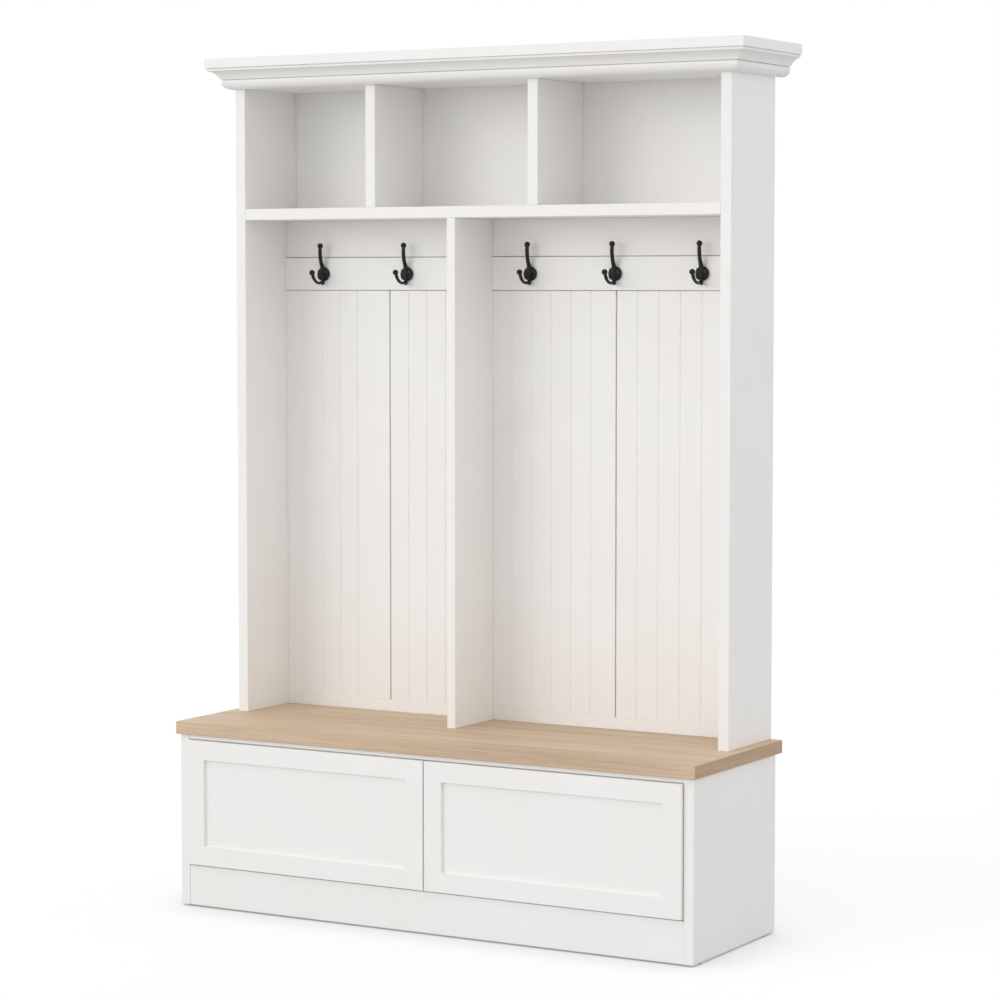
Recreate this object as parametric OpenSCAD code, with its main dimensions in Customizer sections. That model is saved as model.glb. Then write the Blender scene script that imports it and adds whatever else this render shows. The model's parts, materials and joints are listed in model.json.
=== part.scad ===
// Hall tree: a drawer bench with an oak seat, and a hutch with three cubbies,
// two coat bays and a crown. The origin is on the floor, under the middle of the
// whole piece. X runs to the right, Y to the back and Z up. All sizes are in mm.

/* [Bench] */
// Width of the bench over its side panels
bench_w = 1220; // [1180:5:1320]
// Depth of the bench side panels
bench_d = 373; // [350:1:420]
// Height of the bench under the seat
bench_h = 370; // [350:1:420]
// Thickness of the bench panels
bench_t = 22; // [18:0.5:25]
// Thickness of the oak seat
seat_t = 27; // [22:0.5:32]
// How far the seat runs past each bench side
seat_side_over = 6.5; // [4:0.5:12]
// How far the seat runs past the bench front
seat_front_over = 8.5; // [8:0.5:20]
// How far the seat runs past the bench back
seat_back_over = 19; // [10:1:30]
// Thickness of the flat stretchers under the seat
stretcher_t = 10; // [6:0.5:10]
// Height of the plinth board
plinth_h = 89; // [70:1:110]
// How far the plinth sits behind the side panels' front edges
plinth_recess = 1; // [0.5:0.5:5]
// How far the floor glides stand out under the side panels
glide_out = 3.5; // [1:0.5:6]

/* [Drawers] */
// Width of the frame around each drawer's front panel
frame_w = 41; // [35:1:60]
// Thickness of the drawer front's frame
frame_t = 18; // [16:0.5:22]
// How far the drawer fronts stand out past the side panels
front_proud = 7.6; // [2:0.2:10]
// How far the flat panel lies behind the face of its frame
panel_recess = 6.5; // [3:0.5:8]
// Gap between a drawer front and the bench side
front_side_gap = 1.5; // [1:0.5:4]
// Gap between the two drawer fronts
front_mid_gap = 3; // [2:0.5:5]
// Height that shows between the drawer fronts and the seat
front_drop = 11; // [10.5:0.5:14]
// Thickness of the drawer box sides, sub-front and back
drawer_t = 12; // [12:0.5:15]
// Height of the drawer box
drawer_h = 230; // [226:1:232]
// Depth of the drawer box
drawer_d = 325; // [305:1:328]
// Length of a telescopic slide
slide_l = 300; // [280:5:300]
// Height of a telescopic slide
slide_h = 45; // [40:1:46]

/* [Hutch] */
// Width of the hutch over its side panels
hutch_w = 1183; // [1150:1:1280]
// Depth of the hutch side panels
hutch_d = 201; // [195:1:240]
// Height of the whole piece to the top of its crown
total_h = 1808; // [1780:1:1900]
// Thickness of the hutch side panels
hutch_t = 24; // [20:0.5:26]
// Thickness of the centre divider
divider_t = 20; // [18:0.5:24]
// Thickness of the two cubby dividers
cubby_divider_t = 24; // [18:0.5:26]
// Thickness of the hutch top
top_t = 22; // [18:0.5:24]
// Thickness of the long shelf
shelf_t = 24; // [20:0.5:26]
// Height of the shelf's underside
shelf_z = 1463; // [1440:1:1480]
// Height of the cubbies
cubby_h = 257; // [240:1:262]
// Middle of the centre divider
divider_x = -52; // [-80:0.5:-30]
// Middle of the left cubby divider
cubby_left_x = -249; // [-280:0.5:-200]
// Middle of the right cubby divider
cubby_right_x = 142.5; // [100:0.5:200]

/* [Bay backs] */
// How far the beadboard lies behind the hutch front
bead_back = 158; // [140:1:158]
// Thickness of the beadboard and of the smooth board above it
bead_t = 9; // [6:0.5:12]
// Width of a beadboard groove at its face
groove_w = 3; // [2:0.5:4]
// Depth of a beadboard groove
groove_depth = 1.6; // [1:0.1:3]
// Open seam between two beadboard sheets
seam_gap = 3; // [1:0.5:4]
// Middle of the seam in the left bay
left_seam_x = -300; // [-320:1:-280]
// Middle of the seam in the right bay
right_seam_x = 253; // [240:1:270]
// Height of the flat strip along the foot of the beadboard
foot_strip_h = 26; // [20:1:40]
// Height of the hook rail's lower edge
rail_z = 1313; // [1290:1:1330]
// Height of the hook rail board
rail_h = 70; // [60:1:90]
// Thickness of the hook rail board
rail_t = 18; // [15:0.5:20]
// Open joint between the hook rail and the boards above and below it
rail_gap = 1; // [0.5:0.5:3]
// How far the hook rail stands out past the beadboard
rail_proud = 5; // [3:0.5:8]

/* [Crown] */
// How far the crown's cap runs past the hutch on the front and the sides
crown_over = 48; // [44:1:52]
// How far the crown runs past the hutch at the back
crown_back_over = 24; // [10:1:30]
// Thickness of the crown's cap
cap_t = 21; // [18:0.5:25]
// Height of the moulding under the cap
moulding_h = 44; // [43:0.5:46]

/* [Hooks] */
// Diameter of a hook's round plate
plate_d = 30.5; // [28:0.5:34]
// Thickness of a hook's round plate
plate_t = 5; // [4:0.5:6]
// Height of the plates' middles
hook_z = 1347.5; // [1340:0.5:1355]
// Diameter of the balls at the ends of a hook
ball_d = 12; // [10:0.2:13]
// Thickness of a hook's upper arm
upper_arm_d = 8; // [6:0.2:8]
// Thickness of a hook's lower arm
lower_arm_d = 6.6; // [5:0.2:7]

/* [Hidden] */
$fn = 48;
fit = 0.1;          // clearance between two pieces of one body
run_gap = 0.5;      // clearance between pieces that move past each other

// Depth layout, from the front to the back
total_d = seat_front_over + max(seat_d_back(), crown_d_back());
front_y = -total_d / 2 + seat_front_over;      // front edges of the bench sides
bench_back_y = front_y + bench_d;
seat_back_y = bench_back_y + seat_back_over;
hutch_back_y = seat_back_y;
hutch_front_y = hutch_back_y - hutch_d;
bead_y = hutch_front_y + bead_back;
rail_y = bead_y - rail_proud;
cubby_back_t = 4;
cubby_back_y = hutch_back_y - cubby_back_t;
drawer_face_y = front_y - front_proud;
box_front_y = drawer_face_y + frame_t;
function seat_d_back() = bench_d + seat_back_over;
function crown_d_back() = seat_d_back() + crown_back_over;

// Height layout
seat_z = bench_h + seat_t;
shelf_top_z = shelf_z + shelf_t;
ceiling_z = shelf_top_z + cubby_h;
hutch_top_z = ceiling_z + top_t;
cap_z = total_h - cap_t;
moulding_z = cap_z - moulding_h;

// Inner faces
bench_in = bench_w / 2 - bench_t;
hutch_out = hutch_w / 2;
hutch_in = hutch_out - hutch_t;

// Bench base
bottom_t = 18;
rail_board_t = 18;           // thickness of the plinth and of the crown's nailer
stretcher_d = 80;
stretcher_recess = 1.5;      // how far the front stretcher lies behind the side panels
bench_back_t = 4;
glide_d = 14;
glide_stem_d = 6;
glide_stem_l = 14;

// Drawer front and box
front_z0 = plinth_h + 3;
front_z1 = bench_h - front_drop;
front_x0 = front_mid_gap / 2;
front_x1 = bench_in - front_side_gap;
panel_t = 6;
panel_tongue = 8;
slide_w = 12.7;
box_x0 = bench_t / 2 + slide_w + run_gap;
box_x1 = bench_in - slide_w - run_gap;
box_z0 = plinth_h + 14;
drawer_bottom_t = 5;
drawer_bottom_up = 10;
drawer_groove = 6;
front_screw_d = 3.5;
// How deep the screws go into the front: they end just behind the panel
front_screw_bite = min(6, frame_t - panel_recess - panel_t - 0.5);
front_screw_inset = 70;
slide_z = box_z0 + 55;
slide_y0 = box_front_y + 4;
sheet = 1.2;                 // thickness of the slides' steel

// Backs of the bays
left_bay = [-hutch_in, divider_x - divider_t / 2];
right_bay = [divider_x + divider_t / 2, hutch_in];
bead_z0 = seat_z + foot_strip_h;
batten_t = 18;
batten_w = 60;
// Each beadboard sheet: first groove, spacing of the grooves, number of grooves
left_outer_beads = [-519, 45.5, 4];
left_inner_beads = [-252, 46.4, 4];
right_inner_beads = [4.5, 47.3, 5];
right_outer_beads = [302.5, 49.6, 5];

// Hooks: middles of the plates along X
hook_xs = [-465.5, -252, 52.5, 253.5, 454];
hook_screw_x = 9.5;
hook_screw_d = 3.5;
hook_screw_l = 16;
upper_bend_r = 68;
upper_bend = [-16.5, 50];    // where the upper arm stands furthest out
upper_foot_z = 12;
upper_ball = [-15.7, 61];
lower_bend_r = 27.5;
lower_bend = [-20, 8];
lower_ball = [-48.5, 3];
spine_d = 8;
nub = [-6.5, -18.5];

// Knock-down fittings
cam_d = 15;
cam_t = 12;
cam_in = 24;                 // from a panel's end to the middle of a cam
cam_bolt_d = 6;
cam_bolt_in = 10;            // how deep a cam bolt sits in the side panel
screw_d = 5;
screw_head_d = 10;
screw_head_t = 3;
screw_inset = 40;

// Wall brackets
bracket_w = 16;
bracket_leg = 20;
bracket_t = 2;
bracket_x = 400;
bracket_hole_r = 2.25;
bracket_hole_up = 11;        // from the bend to the middle of each hole

// ---- helpers ----

// A board between two corners
module board(low, high) {
    translate(low) cube(high - low);
}

// A rod along Y from y0 to y1
module rod_y(x, z, y0, y1, d) {
    translate([x, y0, z]) rotate([-90, 0, 0]) cylinder(d = d, h = y1 - y0);
}

// A rod along X from x0 to x1
module rod_x(y, z, x0, x1, d) {
    translate([x0, y, z]) rotate([0, 90, 0]) cylinder(d = d, h = x1 - x0);
}

// Draws its children on the left (side = -1) or on the right (side = 1)
module on_side(side) {
    if (side < 0) mirror([1, 0, 0]) children();
    else children();
}

// ---- places of the fittings ----

// Where the cams lie along Y
shelf_cam_ys = [hutch_front_y + screw_inset, cubby_back_y - screw_inset];
base_cam_ys = [front_y + 60, bench_back_y - 60];
bottom_bolt_z = plinth_h - bottom_t + cam_t / 2;

// The cams of one panel end that meets a side panel at x = inner
module cams(inner, ys, face_z, from_above) {
    for (y = ys)
        translate([inner - cam_in, y, from_above ? face_z - cam_t : face_z])
            cylinder(d = cam_d, h = cam_t);
}

// The bolts that run from a side panel at x = inner to just short of the cams
module cam_bolts(inner, ys, z) {
    for (y = ys)
        rod_x(y, z, inner - cam_in + cam_d / 2 + run_gap, inner + cam_bolt_in, cam_bolt_d);
}

// The bores for those bolts, which open into the cams' pockets
module cam_bores(inner, ys, z) {
    for (y = ys)
        rod_x(y, z, inner - cam_in, inner + cam_bolt_in + fit, cam_bolt_d + fit);
}

// Screws that hold the hutch down on the seat, from below
module hutch_screw_places() {
    for (x = [-hutch_out + hutch_t / 2, divider_x, hutch_out - hutch_t / 2])
        for (y = [hutch_front_y + screw_inset, hutch_back_y - screw_inset])
            translate([x, y, bench_h]) children();
}

// Screws that hold the cap down on the hutch sides, from above
module cap_screw_places() {
    for (x = [-1, 1] * (hutch_out - hutch_t / 2))
        for (y = [hutch_front_y + 2 * screw_inset, hutch_back_y - 1.5 * screw_inset])
            translate([x, y, total_h]) mirror([0, 0, 1]) children();
}

// A flat-headed screw that points up, its head at the bottom
module panel_screw(length, grow = 0) {
    cylinder(d = screw_d + grow, h = length);
    cylinder(d = screw_head_d + grow, h = screw_head_t);
}

// ---- bench ----

module bench_side() {
    difference() {
        board([bench_in, front_y, glide_out], [bench_w / 2, bench_back_y, bench_h]);
        cam_bores(bench_in, base_cam_ys, bottom_bolt_z);
        glide_places() cylinder(d = glide_stem_d, h = glide_stem_l);
    }
}

module glide_places() {
    for (y = [front_y + 40, bench_back_y - 40])
        translate([bench_w / 2 - bench_t / 2, y, glide_out]) children();
}

module base_side_left() {
    color("whitesmoke") on_side(-1) bench_side();
}

module base_side_right() {
    color("whitesmoke") on_side(1) bench_side();
}

module base_partition() {
    color("whitesmoke")
        board([-bench_t / 2, box_front_y + 4, plinth_h],
              [bench_t / 2, bench_back_y - bench_back_t, bench_h - stretcher_t]);
}

module base_bottom() {
    z = plinth_h - bottom_t;
    color("whitesmoke")
        difference() {
            board([-bench_in, front_y + plinth_recess + rail_board_t, z],
                  [bench_in, bench_back_y - bench_back_t, plinth_h]);
            for (side = [-1, 1])
                on_side(side) {
                    cams(bench_in, base_cam_ys, z, false);
                    cam_bores(bench_in, base_cam_ys, bottom_bolt_z);
                }
        }
}

module plinth() {
    y = front_y + plinth_recess;
    color("whitesmoke") board([-bench_in, y, glide_out], [bench_in, y + rail_board_t, plinth_h]);
}

// Flat stretchers under the seat, at the front and at the back
module seat_stretchers() {
    z = bench_h - stretcher_t;
    front = front_y + stretcher_recess;
    back = bench_back_y - bench_back_t;
    color("whitesmoke") {
        board([-bench_in, front, z], [bench_in, front + stretcher_d, bench_h]);
        difference() {
            board([-bench_in, back - stretcher_d, z], [bench_in, back, bench_h]);
            hutch_screw_places() translate([0, 0, -stretcher_t - 1]) cylinder(d = 14, h = stretcher_t + 2);
        }
    }
}

module base_back() {
    color("whitesmoke")
        board([-bench_in, bench_back_y - bench_back_t, plinth_h - bottom_t],
              [bench_in, bench_back_y, bench_h]);
}

module seat_top() {
    x = bench_w / 2 + seat_side_over;
    color("burlywood")
        difference() {
            board([-x, front_y - seat_front_over, bench_h], [x, seat_back_y, seat_z]);
            hutch_screw_places() panel_screw(seat_t + 1, fit);
        }
}

module floor_glides() {
    color("dimgray")
        for (side = [-1, 1])
            on_side(side)
                glide_places() {
                    translate([0, 0, -glide_out]) cylinder(d = glide_d, h = glide_out);
                    cylinder(d = glide_stem_d, h = glide_stem_l);
                }
}

// ---- drawers, drawn for the right-hand side ----

module front_stiles() {
    for (x = [front_x0, front_x1 - frame_w])
        difference() {
            board([x, drawer_face_y, front_z0], [x + frame_w, box_front_y, front_z1]);
            panel_solid(fit);
        }
}

module front_rails() {
    for (z = [front_z0, front_z1 - frame_w])
        difference() {
            board([front_x0 + frame_w, drawer_face_y, z],
                  [front_x1 - frame_w, box_front_y, z + frame_w]);
            panel_solid(fit);
            front_screw_places() rod_y(0, 0, -front_screw_bite - fit, 1, front_screw_d + fit);
        }
}

// The flat panel, held in a groove all round its frame
module panel_solid(grow = 0) {
    inset = frame_w - panel_tongue - grow;
    y = drawer_face_y + panel_recess - grow / 2;
    board([front_x0 + inset, y, front_z0 + inset],
          [front_x1 - inset, y + panel_t + grow, front_z1 - inset]);
}

module drawer_subfront() {
    difference() {
        board([box_x0 + drawer_t, box_front_y, box_z0],
              [box_x1 - drawer_t, box_front_y + drawer_t, box_z0 + drawer_h]);
        drawer_bottom_solid(fit);
        front_screw_places() rod_y(0, 0, -1, drawer_t + 1, front_screw_d + fit);
    }
}

module drawer_sides() {
    for (x = [box_x0, box_x1 - drawer_t])
        difference() {
            board([x, box_front_y, box_z0],
                  [x + drawer_t, box_front_y + drawer_d, box_z0 + drawer_h]);
            drawer_bottom_solid(fit);
        }
}

module drawer_back() {
    y = box_front_y + drawer_d;
    difference() {
        board([box_x0 + drawer_t, y - drawer_t, box_z0], [box_x1 - drawer_t, y, box_z0 + drawer_h]);
        drawer_bottom_solid(fit);
    }
}

// The bottom slides in grooves in the sides, the sub-front and the back
module drawer_bottom_solid(grow = 0) {
    z = box_z0 + drawer_bottom_up;
    inset = drawer_t - drawer_groove - grow;
    board([box_x0 + inset, box_front_y + inset, z - grow / 2],
          [box_x1 - inset, box_front_y + drawer_d - inset, z + drawer_bottom_t + grow / 2]);
}

// Four screws from inside the box into the rails of the front
module front_screw_places() {
    for (x = [box_x0 + front_screw_inset, box_x1 - front_screw_inset])
        for (z = [box_z0 + drawer_bottom_up + drawer_bottom_t + 7, box_z0 + drawer_h - 8])
            translate([x, box_front_y, z]) children();
}

module front_screws() {
    front_screw_places() {
        rod_y(0, 0, -front_screw_bite, drawer_t, front_screw_d);
        rod_y(0, 0, drawer_t, drawer_t + 2, 2 * front_screw_d);
    }
}

module left_front_stiles() {
    color("whitesmoke") on_side(-1) front_stiles();
}

module left_front_rails() {
    color("whitesmoke") on_side(-1) front_rails();
}

module left_front_panel() {
    color("whitesmoke") on_side(-1) panel_solid();
}

module left_drawer_subfront() {
    color("whitesmoke") on_side(-1) drawer_subfront();
}

module left_drawer_sides() {
    color("whitesmoke") on_side(-1) drawer_sides();
}

module left_drawer_back() {
    color("whitesmoke") on_side(-1) drawer_back();
}

module left_drawer_bottom() {
    color("whitesmoke") on_side(-1) drawer_bottom_solid();
}

module left_front_screws() {
    color("silver") on_side(-1) front_screws();
}

module right_front_stiles() {
    color("whitesmoke") front_stiles();
}

module right_front_rails() {
    color("whitesmoke") front_rails();
}

module right_front_panel() {
    color("whitesmoke") panel_solid();
}

module right_drawer_subfront() {
    color("whitesmoke") drawer_subfront();
}

module right_drawer_sides() {
    color("whitesmoke") drawer_sides();
}

module right_drawer_back() {
    color("whitesmoke") drawer_back();
}

module right_drawer_bottom() {
    color("whitesmoke") drawer_bottom_solid();
}

module right_front_screws() {
    color("silver") front_screws();
}

// ---- telescopic slides ----

// A channel along Y, its web on the plane x = web_x and its legs reaching leg_x
module channel(web_x, leg_x, h) {
    low = min(web_x, leg_x);
    wide = abs(leg_x - web_x);
    web = min(web_x, web_x + sign(leg_x - web_x) * sheet);
    translate([low, slide_y0, slide_z - h / 2])
        cube([wide, slide_l, sheet]);
    translate([low, slide_y0, slide_z + h / 2 - sheet])
        cube([wide, slide_l, sheet]);
    translate([web, slide_y0, slide_z - h / 2])
        cube([sheet, slide_l, h]);
}

// The two slides of one drawer: each is measured from the cabinet's face,
// on the partition (facing right) and on the bench side (facing left)
module slide_member(web, leg, h) {
    channel(bench_t / 2 + web, bench_t / 2 + leg, h);
    channel(bench_in - web, bench_in - leg, h);
}

module outer_members() {
    slide_member(0, 9.2, slide_h);
}

module middle_members() {
    slide_member(2.4, 10.4, slide_h - 6);
}

module inner_members() {
    slide_member(slide_w + run_gap, 4.8, slide_h - 12);
}

module cabinet_slide_rails() {
    color("silver")
        for (side = [-1, 1])
            on_side(side) outer_members();
}

module left_middle_slides() {
    color("lightgray") on_side(-1) middle_members();
}

module right_middle_slides() {
    color("lightgray") middle_members();
}

module left_drawer_slides() {
    color("gainsboro") on_side(-1) inner_members();
}

module right_drawer_slides() {
    color("gainsboro") inner_members();
}

// ---- hutch ----

module hutch_side() {
    difference() {
        board([hutch_in, hutch_front_y, seat_z], [hutch_out, hutch_back_y, cap_z]);
        cam_bores(hutch_in, shelf_cam_ys, shelf_top_z - cam_t / 2);
        cam_bores(hutch_in, shelf_cam_ys, hutch_top_z - cam_t / 2);
        hutch_screw_places() cylinder(d = screw_d + fit, h = seat_t + 26);
        cap_screw_places() cylinder(d = screw_d + fit, h = cap_t + 26);
    }
}

module hutch_side_left() {
    color("whitesmoke") on_side(-1) hutch_side();
}

module hutch_side_right() {
    color("whitesmoke") on_side(1) hutch_side();
}

module centre_divider() {
    color("whitesmoke")
        difference() {
            board([left_bay[1], hutch_front_y, seat_z], [right_bay[0], hutch_back_y, shelf_z]);
            hutch_screw_places() cylinder(d = screw_d + fit, h = seat_t + 26);
        }
}

// A panel between the hutch sides, with cams set in its top face at both ends
module cam_panel(z0, z1) {
    difference() {
        board([-hutch_in, hutch_front_y, z0], [hutch_in, cubby_back_y, z1]);
        for (side = [-1, 1])
            on_side(side) {
                cams(hutch_in, shelf_cam_ys, z1, true);
                cam_bores(hutch_in, shelf_cam_ys, z1 - cam_t / 2);
            }
    }
}

module shelf() {
    color("whitesmoke") cam_panel(shelf_z, shelf_top_z);
}

module hutch_top() {
    color("whitesmoke") cam_panel(ceiling_z, hutch_top_z);
}

module cubby_divider(x) {
    board([x - cubby_divider_t / 2, hutch_front_y, shelf_top_z],
          [x + cubby_divider_t / 2, cubby_back_y, ceiling_z]);
}

module cubby_divider_left() {
    color("whitesmoke") cubby_divider(cubby_left_x);
}

module cubby_divider_right() {
    color("whitesmoke") cubby_divider(cubby_right_x);
}

module cubby_back() {
    color("whitesmoke")
        board([-hutch_in, cubby_back_y, shelf_z], [hutch_in, hutch_back_y, hutch_top_z]);
}

// ---- crown ----

// The board behind the front moulding, which carries the cap
module crown_nailer() {
    color("whitesmoke")
        board([-hutch_in, hutch_front_y, hutch_top_z],
              [hutch_in, hutch_front_y + rail_board_t, cap_z]);
}

// The moulding's section: X is how far it stands out, Y is its height.
// From the top down: a flat fillet, a shallow hollow cove that ends in a thin lip, a
// narrow groove (the quirk), and a round ovolo.
fillet_out = 44;
fillet_h = 5.5;
cove_top_out = 42.5;
cove_foot_out = 23.5;
cove_foot_z = 22;
lip_t = 1;
quirk_out = 18.5;
quirk_h = 1.2;
cove_r = 30;
ovolo_out = 22;
ovolo_r = 16;
module moulding_section() {
    cove_top_z = moulding_h - fillet_h;
    run = cove_top_out - cove_foot_out;
    rise = cove_top_z - cove_foot_z;
    chord = sqrt(run * run + rise * rise);
    reach = sqrt(cove_r * cove_r - chord * chord / 4);
    centre_out = (cove_top_out + cove_foot_out) / 2 + reach * rise / chord;
    centre_z = (cove_top_z + cove_foot_z) / 2 - reach * run / chord;
    translate([0, cove_top_z]) square([fillet_out, fillet_h]);
    difference() {
        translate([0, cove_foot_z]) square([cove_top_out, rise]);
        translate([centre_out, centre_z]) circle(r = cove_r, $fn = 144);
    }
    translate([0, cove_foot_z - lip_t]) square([cove_foot_out, lip_t]);
    translate([0, cove_foot_z - lip_t - quirk_h]) square([quirk_out, quirk_h]);
    translate([0, ovolo_r]) square([ovolo_out, cove_foot_z - lip_t - quirk_h - ovolo_r]);
    intersection() {
        translate([ovolo_out - ovolo_r, ovolo_r]) circle(r = ovolo_r, $fn = 96);
        square([ovolo_out, ovolo_r]);
    }
    square([ovolo_out - ovolo_r, ovolo_r]);
}

// The cutter that keeps what lies in front of the mitre planes at both corners
module mitre_front() {
    reach = hutch_out + crown_over + 20;
    translate([0, 0, moulding_z - 1])
        linear_extrude(moulding_h + 2)
            polygon([
                [-reach, hutch_front_y - reach + hutch_out],
                [reach, hutch_front_y - reach + hutch_out],
                [hutch_out, hutch_front_y],
                [-hutch_out, hutch_front_y]
            ]);
}

module crown_front() {
    length = 2 * (hutch_out + crown_over);
    color("whitesmoke")
        intersection() {
            translate([-length / 2, hutch_front_y, moulding_z])
                rotate([90, 0, 90])
                    linear_extrude(length)
                        mirror([1, 0]) moulding_section();
            mitre_front();
        }
}

module crown_return() {
    length = hutch_d + crown_over + crown_back_over;
    difference() {
        translate([hutch_out, hutch_back_y + crown_back_over, moulding_z])
            rotate([90, 0, 0])
                linear_extrude(length) moulding_section();
        mitre_front();
    }
}

module crown_left() {
    color("whitesmoke") on_side(-1) crown_return();
}

module crown_right() {
    color("whitesmoke") crown_return();
}

module crown_cap() {
    x = hutch_out + crown_over;
    color("whitesmoke")
        difference() {
            board([-x, hutch_front_y - crown_over, cap_z],
                  [x, hutch_back_y + crown_back_over, total_h]);
            cap_screw_places() panel_screw(cap_t + 1, fit);
        }
}

// ---- backs of the bays ----

// A beadboard sheet from x0 to x1 with V grooves in its front face
module beadboard(x0, x1, beads) {
    face = [
        for (i = [0 : beads[2] - 1])
            let (x = beads[0] + i * beads[1])
                each [[x - groove_w / 2, 0], [x, groove_depth], [x + groove_w / 2, 0]]
    ];
    color("whitesmoke")
        translate([0, bead_y, bead_z0])
            linear_extrude(rail_z - rail_gap - bead_z0)
                polygon(concat([[x0, 0]], face, [[x1, 0], [x1, bead_t], [x0, bead_t]]));
}

module beadboard_1() {
    beadboard(left_bay[0], left_seam_x - seam_gap / 2, left_outer_beads);
}

module beadboard_2() {
    beadboard(left_seam_x + seam_gap / 2, left_bay[1], left_inner_beads);
}

module beadboard_3() {
    beadboard(right_bay[0], right_seam_x - seam_gap / 2, right_inner_beads);
}

module beadboard_4() {
    beadboard(right_seam_x + seam_gap / 2, right_bay[1], right_outer_beads);
}

module foot_strips() {
    color("whitesmoke")
        for (bay = [left_bay, right_bay])
            board([bay[0], bead_y, seat_z], [bay[1], bead_y + bead_t, bead_z0]);
}

// Smooth boards between the hook rail and the shelf
module upper_boards() {
    color("whitesmoke")
        for (bay = [left_bay, right_bay])
            board([bay[0], bead_y, rail_z + rail_h + rail_gap], [bay[1], bead_y + bead_t, shelf_z]);
}

module hook_rail(bay) {
    color("whitesmoke")
        difference() {
            board([bay[0], rail_y, rail_z], [bay[1], rail_y + rail_t, rail_z + rail_h]);
            for (x = hook_xs)
                hook_screw_pair(x) rod_y(0, 0, -1, hook_screw_l - plate_t + fit, hook_screw_d + fit);
        }
}

module hook_rail_left() {
    hook_rail(left_bay);
}

module hook_rail_right() {
    hook_rail(right_bay);
}

// Battens behind the bay backs: one under the shelf, one along the seat and one at the seam
module bay_battens() {
    y = bead_y + bead_t;
    rail_back = rail_y + rail_t;
    color("whitesmoke")
        for (bay = [[left_bay, left_seam_x], [right_bay, right_seam_x]]) {
            x0 = bay[0][0];
            x1 = bay[0][1];
            board([x0, y, seat_z], [x1, y + batten_t, seat_z + batten_w]);
            board([x0, rail_back, rail_z - 20], [x1, rail_back + batten_t, rail_z + rail_h + 20]);
            board([bay[1] - batten_w / 2, y, seat_z + batten_w + run_gap],
                  [bay[1] + batten_w / 2, y + batten_t, rail_z - 20 - run_gap]);
        }
}

// ---- hooks ----

// The two screws of the hook at x, from the face of the hook rail
module hook_screw_pair(x) {
    for (dx = [-1, 1] * hook_screw_x)
        translate([x + dx, rail_y, hook_z]) children();
}

// An arc of round bar in the plane x = 0, about [y, z], between two angles
// measured from +Y towards +Z
module bar_arc(centre, r, a0, a1, d) {
    translate([0, centre[0], centre[1]])
        rotate([90, 0, 90])
            rotate([0, 0, a0])
                rotate_extrude(angle = a1 - a0, $fn = 96)
                    translate([r, 0]) circle(d = d, $fn = 32);
}

module ball(place, d) {
    translate([0, place[0], place[1]]) sphere(d = d, $fn = 40);
}

// A double coat hook: a round plate with a rib, a tall upper arm and a short
// lower arm that curls forward, each with a ball at its end
module coat_hook(x) {
    upper_centre = [upper_bend[0] + upper_bend_r, upper_bend[1]];
    upper_a0 = 180 + asin((upper_bend[1] - upper_foot_z) / upper_bend_r);
    upper_a1 = 180 - asin((upper_ball[1] - upper_bend[1]) / upper_bend_r);
    lower_a0 = 180 + atan2(lower_bend[1] - lower_ball[1], lower_bend[0] - lower_ball[0]);
    lower_a1 = 270 + 28;
    color("#222222")
        difference() {
            translate([x, rail_y, hook_z]) {
                rod_y(0, 0, -plate_t, 0, plate_d);
                translate([0, -plate_t, nub[1]]) cylinder(d = spine_d, h = 14 - nub[1]);
                ball([-plate_t, 14], spine_d);
                ball(nub, spine_d + 1);
                bar_arc(upper_centre, upper_bend_r, upper_a1, upper_a0, upper_arm_d);
                ball(upper_ball, ball_d);
                bar_arc(lower_bend, lower_bend_r, lower_a0, lower_a1, lower_arm_d);
                ball(lower_ball, ball_d);
            }
            board([x - plate_d, rail_y, hook_z - 60], [x + plate_d, rail_y + 20, hook_z + 80]);
            hook_screw_pair(x) rod_y(0, 0, -plate_t - 8, 1, hook_screw_d + fit);
        }
}

module hook_1() {
    coat_hook(hook_xs[0]);
}

module hook_2() {
    coat_hook(hook_xs[1]);
}

module hook_3() {
    coat_hook(hook_xs[2]);
}

module hook_4() {
    coat_hook(hook_xs[3]);
}

module hook_5() {
    coat_hook(hook_xs[4]);
}

module hook_screws() {
    head_t = 1.6;
    color("#222222")
        for (x = hook_xs)
            hook_screw_pair(x) {
                rod_y(0, 0, -plate_t, hook_screw_l - plate_t, hook_screw_d);
                rod_y(0, 0, -plate_t - head_t, -plate_t, 6);
            }
}

// ---- hardware ----

// Cams with their bolts, and the screws of the seat and of the cap
module knock_down_fittings() {
    color("silver") {
        for (side = [-1, 1])
            on_side(side) {
                cams(bench_in, base_cam_ys, plinth_h - bottom_t, false);
                cam_bolts(bench_in, base_cam_ys, bottom_bolt_z);
                cams(hutch_in, shelf_cam_ys, shelf_top_z, true);
                cam_bolts(hutch_in, shelf_cam_ys, shelf_top_z - cam_t / 2);
                cams(hutch_in, shelf_cam_ys, hutch_top_z, true);
                cam_bolts(hutch_in, shelf_cam_ys, hutch_top_z - cam_t / 2);
            }
        hutch_screw_places() panel_screw(seat_t + 25);
        cap_screw_places() panel_screw(cap_t + 25);
    }
}

// Steel angles on top of the crown that tie the piece to the wall
module wall_brackets() {
    back = hutch_back_y + crown_back_over;
    color("silver")
        for (x = [-bracket_x, bracket_x])
            difference() {
                translate([x - bracket_w / 2, back - bracket_leg, total_h]) {
                    cube([bracket_w, bracket_leg, bracket_t]);
                    translate([0, bracket_leg - bracket_t, 0])
                        cube([bracket_w, bracket_t, bracket_leg]);
                }
                rod_y(x, total_h + bracket_hole_up, back - bracket_t - 1, back + 1,
                      2 * bracket_hole_r);
                translate([x, back - bracket_hole_up, total_h - 1])
                    cylinder(r = bracket_hole_r, h = bracket_t + 2);
            }
}

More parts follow.
